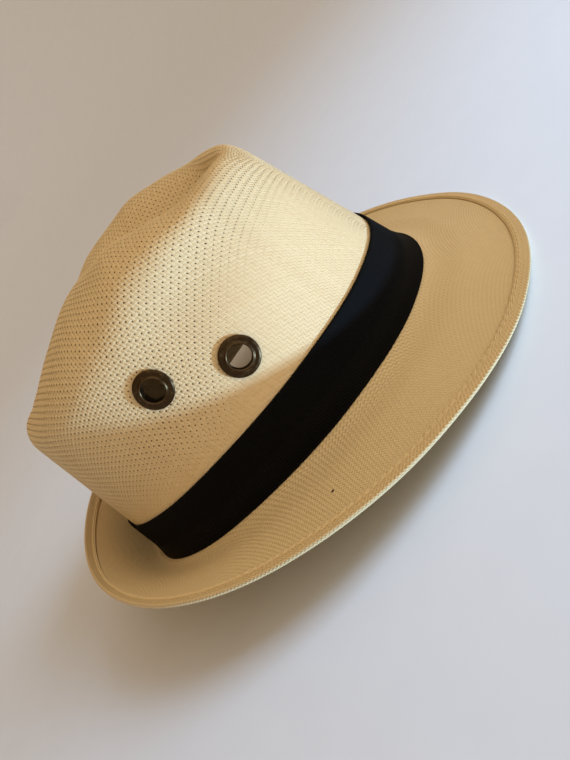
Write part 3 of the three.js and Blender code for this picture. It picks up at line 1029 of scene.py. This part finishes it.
def hem_finish():
    """Same cloth, cut on the bias: the threads run slantwise round the fold. Its hollows, and the whole
    hem a little, are coloured darker as painted shade.
    """
    finish, recipe, shader, place = new_finish("hem_cloth")
    parts = recipe.parts(recipe.cloth())
    height = fine_weave(recipe, parts["X"], parts["Y"])
    # Painted shade: darker in the weave's hollows, and darker overall than the brim.
    tone = recipe.times(recipe.minus(1.0, height), 0.40, 0.12)
    straw_skin(recipe, shader, place, tone, height, WEAVE_BUMP)
    return finish


dress(make_hem(), "brim_straw", finish=hem_finish())

# %% [markdown]
# ## The hem's stitches
# A doubled thread holds the hem down. Each stitch shows as two slanted strands side by side, and
# the row of them reads as a plait. A strand is a short tube whose middle stands on the fold and
# whose ends dip into it. All stitches are one array: stitch, point along it, point round it.

# %% Stitches
STITCH_LENGTH = 3.7  # mm along the hem
STITCH_INSET = 4.9  # mm in from the brim's edge
STITCH_RADIUS, STITCH_TAPER = 0.38, 0.45  # mm, and the part of it that is lost at the ends
STITCH_SLANT = 0.35  # mm each strand drifts across the hem over its length
STITCH_APART = 0.42  # mm from the middle of the row to a strand
STITCH_OVERLAP = 0.54  # half length of a strand, as a part of the spacing
STITCH_ARCH, STITCH_SINK = 0.30, 0.12  # mm that the middle rises, and that the whole lies in the cloth
STITCH_POINTS, STITCH_SIDES = 7, 6
HEM_SAMPLES = 2881


def hem_turns(spacing):
    """Turns at equal spacing along the hem."""
    fine = np.linspace(0, 360, HEM_SAMPLES)
    run = np.linalg.norm(np.diff(skirt_point(fine, from_edge(fine, STITCH_INSET)), axis=0), axis=-1)
    run = np.concatenate([[0], np.cumsum(run)])
    count = int(run[-1] / spacing)
    return np.interp((np.arange(count) + 0.5) * run[-1] / count, run, fine), run[-1] / count


def make_stitches(name, level, up):
    """Two strands a stitch. Height along a strand: one less the cube of the distance from its middle."""
    turns, spacing = hem_turns(STITCH_LENGTH)
    t = np.linspace(-1, 1, STITCH_POINTS)[:, None]
    ring = np.arange(STITCH_SIDES)[None, :] * 2 * np.pi / STITCH_SIDES
    shift = np.array([-STITCH_APART, STITCH_APART])[:, None, None]
    arch = 1 - np.abs(t) ** 3
    radius = STITCH_RADIUS * (1 - STITCH_TAPER + STITCH_TAPER * arch)
    along = t * spacing * STITCH_OVERLAP + shift * 0.5
    across = shift + STITCH_SLANT * t + radius * np.cos(ring)
    lift = STITCH_ARCH * arch - STITCH_SINK + radius * np.sin(ring)
    row = from_edge(turns, STITCH_INSET)
    per_degree = np.linalg.norm(skirt_point(turns + 0.5, row) - skirt_point(turns - 0.5, row), axis=-1)
    turn = turns[:, None, None, None] + along / per_degree[:, None, None, None]
    points = skirt_offset(turn, from_edge(turn, STITCH_INSET + across), level + up * lift)
    quads, _, _ = grid_quads(STITCH_POINTS, STITCH_SIDES, False, True)
    first = np.arange(2 * len(turns)) * STITCH_POINTS * STITCH_SIDES
    faces = (quads[None] + first[:, None, None]).reshape(-1, 4)
    return make_piece(name, points, faces[:, ::-1] if up > 0 else faces)


def stitch_finish():
    finish, recipe, shader, place = new_finish("hem_thread")
    straw_skin(recipe, shader, place, -0.3, recipe.noise(place, 2500.0), 0.00005)
    return finish


stitch_look = stitch_finish()
for name, level, up in (("hem_stitches_top", HEM_LIFT, 1), ("hem_stitches_under", HEM_UNDER, -1)):
    dress(make_stitches(name, level, up), "brim_straw", finish=stitch_look)

# %% [markdown]
# ## The ribbon
# The band is a black corded ribbon. Its cords run across it, so its face is a row of fine ridges
# and its edges are very slightly toothed. The ridges are real: one cosine round the hat, added to
# the ribbon's outer face. The section is closed, with the flat back lying against the straw.

# %% Ribbon
RIB_COUNT, RIB_SAMPLES = 480, 4
RIB_HEIGHT = 0.09
RIB_TOOTH = 0.16 / 22  # what the edge goes in and out, in steps of about 22 mm
RIBBON_EDGE = 0.45  # thickness at the edge, as a part of the whole
RIBBON_ROUND = 0.03  # share of the width over which an edge is rounded
RIBBON_BACK = 0.05  # mm more than the gap between the straw and the ribbon's back


def make_ribbon():
    """Outer face: a rounded edge on either side of the width, less a cosine ridge round the hat."""
    columns = RIB_COUNT * RIB_SAMPLES
    turns = np.arange(columns) * 360 / columns
    ridge = np.cos(np.arange(columns) * 2 * np.pi / RIB_SAMPLES)
    share = np.concatenate([[0, 0.012, 0.04], np.linspace(0.1, 0.9, 11), [0.96, 0.988, 1]])
    round_edge = np.clip(np.minimum(share, 1 - share) / RIBBON_ROUND, 0, 1)
    round_edge = np.sqrt(1 - (1 - round_edge) ** 2)
    tooth = (1 - round_edge) * RIB_TOOTH * np.sign(share - 0.5)
    step = np.clip((share * (1 + BAND_END))[:, None] - tooth[:, None] * (1 - ridge), 0, 3)
    thick = RIBBON * (RIBBON_EDGE + (1 - RIBBON_EDGE) * round_edge[:, None])
    outside = skirt_offset(turns, step, GAP + thick - RIB_HEIGHT * (1 - ridge))
    back = np.array([1.0, 0.5, 0.0])[:, None] * (1 + BAND_END)
    inside = skirt_offset(turns, back, GAP + RIBBON_BACK)
    points = np.concatenate([outside, inside])
    faces, _, _ = grid_quads(len(points), columns, True, True)
    return make_piece("ribbon_band", points, faces[:, ::-1])


def ribbon_finish():
    """Black cord with a little lint, almost without a shine."""
    finish, recipe, shader, place = new_finish("black_ribbon")
    cloud, lint = recipe.noise(place, 60.0, 4.0), recipe.noise(place, 1800.0, 2.0)
    tint = recipe.blend(cloud, colour(0.0015, 0.0015, 0.0015), colour(0.003, 0.003, 0.003))
    recipe.fill(shader, {"Base Color": tint, "Roughness": recipe.times(lint, 0.25, 0.6),
                         "Normal": recipe.bump(lint, 0.00004), "Specular IOR Level": 0.08})
    return finish


dress(make_ribbon(), "ribbon", "band", finish=ribbon_finish())

# %% [markdown]
# ## Eyelets
# Each vent is a brass eyelet that has gone dark: a domed flange, a raised lip round the hole, a
# barrel through the straw and a washer inside. It is a section turned about its axis, with enough
# points on the dome and the lip for the light to roll over them.

# %% Eyelets
EYELET_SEAT, EYELET_DOME, EYELET_LIP, EYELET_BACK, EYELET_FOOT = 0.25, 1.5, 2.1, -2.6, -3.5  # heights
EYELET_SIDES = 64
DOME_WIDTH, LIP_SPREAD = 1.55, 0.25
HOLE_ROUND, RIM_ROUND, LIP_ROUND = 0.5, 0.4, 0.5  # rounded corners of the section
FLANGE_ROUND, FLANGE_RISE = 0.25, 0.4


def arc(radius_at, height_at, radius, height, start, stop, count):
    """Points of an elliptic arc in the section, by its centre, half axes and angles in degrees."""
    angle = np.radians(np.linspace(start, stop, count))
    return np.stack([radius_at + radius * np.cos(angle), height_at + height * np.sin(angle)], -1)


def eyelet_section():
    lip_middle = (EYELET_HOLE + EYELET_BARREL + LIP_SPREAD) / 2
    lip_half = (EYELET_BARREL + LIP_SPREAD - EYELET_HOLE) / 2
    dome_foot = EYELET_SEAT + FLANGE_RISE
    return np.concatenate([
        arc(EYELET_HOLE + HOLE_ROUND, EYELET_FOOT + HOLE_ROUND, HOLE_ROUND, HOLE_ROUND, 180, 270, 5),
        arc(EYELET_WASHER - RIM_ROUND, EYELET_FOOT + RIM_ROUND, RIM_ROUND, RIM_ROUND, 270, 360, 5),
        [[EYELET_WASHER, EYELET_BACK], [EYELET_BARREL, EYELET_BACK], [EYELET_BARREL, EYELET_SEAT]],
        arc(EYELET_FLANGE - FLANGE_ROUND, EYELET_SEAT + 0.3, FLANGE_ROUND, 0.3, 270, 360, 4),
        arc(EYELET_FLANGE - DOME_WIDTH, dome_foot, DOME_WIDTH, EYELET_DOME - dome_foot, 0, 110, 12),
        [[EYELET_BARREL + 0.6, EYELET_DOME + 0.05]],
        arc(lip_middle, EYELET_LIP - LIP_ROUND, lip_half, LIP_ROUND, 0, 180, 9),
    ])


def make_eyelet(name, seat):
    section = eyelet_section()
    points = stand_on(turned(section, EYELET_SIDES).reshape(-1, 3), seat)
    faces, rows, columns = grid_quads(len(section), EYELET_SIDES, True, True)
    radius = np.append(section[:, 0], section[0, 0])[rows]
    uv = np.stack([columns / EYELET_SIDES, radius / EYELET_FLANGE], -1)
    return make_piece(name, points, faces, uv)


def bronze_finish():
    """Antique bronze: dark brown tarnish, with brass rubbed bright on the lip and in flecks."""
    finish, recipe, shader, place = new_finish("antique_bronze")
    lip = recipe.span(recipe.parts(recipe.cloth())["Y"], 0.72, 0.64)
    cloud = recipe.noise(place, 500.0, 4.0, 0.65)
    worn = recipe.times(recipe.span(cloud, 0.52, 0.72), 0.2)
    mask = recipe.plus(worn, recipe.times(lip, 0.12), clamp=True)
    tint = recipe.blend(mask, colour(0.058, 0.037, 0.018), colour(0.36, 0.25, 0.13))
    recipe.fill(shader, {"Base Color": tint, "Roughness": recipe.times(cloud, 0.3, 0.16),
                         "Normal": recipe.bump(cloud, 0.00003), "Metallic": 1.0})
    return finish


bronze = bronze_finish()
for name, seat in EYELET_SEATS.items():
    dress(make_eyelet(name.replace("eyelet", "vent"), seat), "eyelet_metal", name, finish=bronze)

# %% [markdown]
# ## Floor and light
# The hat lies on a pale floor that rises gently far away, like a wide dish, so that no horizon
# shows behind it. In the photograph a window lights the hat from the right of the picture, which is
# from in front and from below the brim: the front and the side of the crown are ivory, while the
# brim and the foot of the crown lie in the brim's own warm shade. So the window lamp stands low in
# front, and the floor casts no shadow, to let its light through. Only a round patch under the hat
# does, which keeps the hollow of the crown dark. The window lamp also leaves out the shell and the
# brim's sheet, which a real floor would keep in shade. Two weak lamps fill in: a cool one for the
# floor alone, like the sky, and a warm one for the crown's threads. The room light is the world's.

# %% Floor
FLOOR_FLAT, FLOOR_END, FLOOR_RISE = 1.2, 4.0, 1.6  # metres
FLOOR_UNDER = 0.105  # radius of the patch under the hat, which does cast shadow
FLOOR_SIDES = 96


def make_floor(name, radius, finish):
    """Lathe about +Z through rings of these radii: flat, then a parabola that rises outward."""
    rise = np.clip((radius - FLOOR_FLAT) / (FLOOR_END - FLOOR_FLAT), 0, 1)
    points = turned(np.stack([radius, FLOOR_RISE * rise ** 2], -1), FLOOR_SIDES)
    faces, _, _ = grid_quads(len(radius), FLOOR_SIDES, False, True)
    mesh = bpy.data.meshes.new(name)
    mesh.from_pydata(points.reshape(-1, 3).tolist(), [], faces[:, ::-1].tolist())
    mesh.polygons.foreach_set("use_smooth", np.ones(len(faces), bool))
    mesh.materials.append(finish)
    floor = bpy.data.objects.new(name, mesh)
    bpy.context.scene.collection.objects.link(floor)
    return floor


def floor_finish():
    finish, recipe, shader, place = new_finish("pale_floor")
    cloud = recipe.noise(place, 40.0, 4.0)
    tint = recipe.blend(cloud, colour(0.57, 0.59, 0.62), colour(0.60, 0.62, 0.65))
    recipe.fill(shader, {"Base Color": tint, "Roughness": 0.8})
    return finish


floor_look = floor_finish()
rings = np.concatenate([[FLOOR_UNDER, 0.2, 0.5], np.linspace(FLOOR_FLAT, FLOOR_END, 24)])
floor = make_floor("floor", rings, floor_look)
floor.visible_shadow = False
make_floor("floor_under", np.array([0.0005, FLOOR_UNDER]), floor_look)


# %% Lamps
LAMP_AIM = Vector((0, 0, 0.06))


def add_lamp(name, azimuth, elevation, distance, width, height, watts, tint):
    """An area lamp that looks at the hat from an azimuth, an elevation and a distance."""
    a, e = math.radians(azimuth), math.radians(elevation)
    way = Vector((math.sin(a) * math.cos(e), -math.cos(a) * math.cos(e), math.sin(e)))
    data = bpy.data.lights.new(name, "AREA")
    data.shape, data.size, data.size_y = "RECTANGLE", width, height
    data.energy, data.color = watts, tint
    lamp = bpy.data.objects.new(name, data)
    lamp.rotation_mode = "QUATERNION"
    lamp.rotation_quaternion = way.to_track_quat("Z", "Y")
    lamp.location = LAMP_AIM + way * distance
    lamp.visible_camera = False
    bpy.context.scene.collection.objects.link(lamp)
    return lamp


window = add_lamp("window", -36, -31, 1.3, 0.14, 0.06, 17.6, (0.55, 0.93, 1.46))
sky = add_lamp("sky", 0, 35, 0.95, 0.5, 0.5, 11, (0.50, 0.70, 0.96))
glow = add_lamp("glow", -40, 2, 1.3, 0.6, 0.4, 2.8, (0.86, 0.52, 0.28))


def reach_only(lamp, name, pieces, state="INCLUDE"):
    """Light linking: a lamp reaches these pieces alone, or with EXCLUDE all the others."""
    group = bpy.data.collections.new(name)
    for piece in pieces:
        group.objects.link(piece)
    for member in group.collection_objects:
        member.light_linking.link_state = state
    lamp.light_linking.receiver_collection = group


reach_only(sky, "floor_only", [floor])
reach_only(glow, "threads_only", threads)
reach_only(window, "not_inside", [shell, brim], "EXCLUDE")


# %% Room light
ROOM_FRONT, ROOM_BACK = colour(1.49, 1.27, 0.99), colour(0.36, 0.16, 0.02)
ROOM_STRENGTH, ROOM_TURN = 0.78, 0.75


def make_world():
    """Room light by direction: warm and dim from behind the hat, paler and stronger from in front."""
    world = bpy.data.worlds.new("room")
    bpy.context.scene.world = world
    world.use_nodes = True
    recipe = Recipe(world.node_tree)
    back = recipe.parts(recipe.add("ShaderNodeTexCoord").outputs["Generated"])["Y"]
    tint = recipe.blend(recipe.span(back, -ROOM_TURN, ROOM_TURN), ROOM_FRONT, ROOM_BACK)
    recipe.fill(world.node_tree.nodes["Background"], {"Color": tint, "Strength": ROOM_STRENGTH})


make_world()
bpy.context.scene.view_settings.view_transform = "Standard"
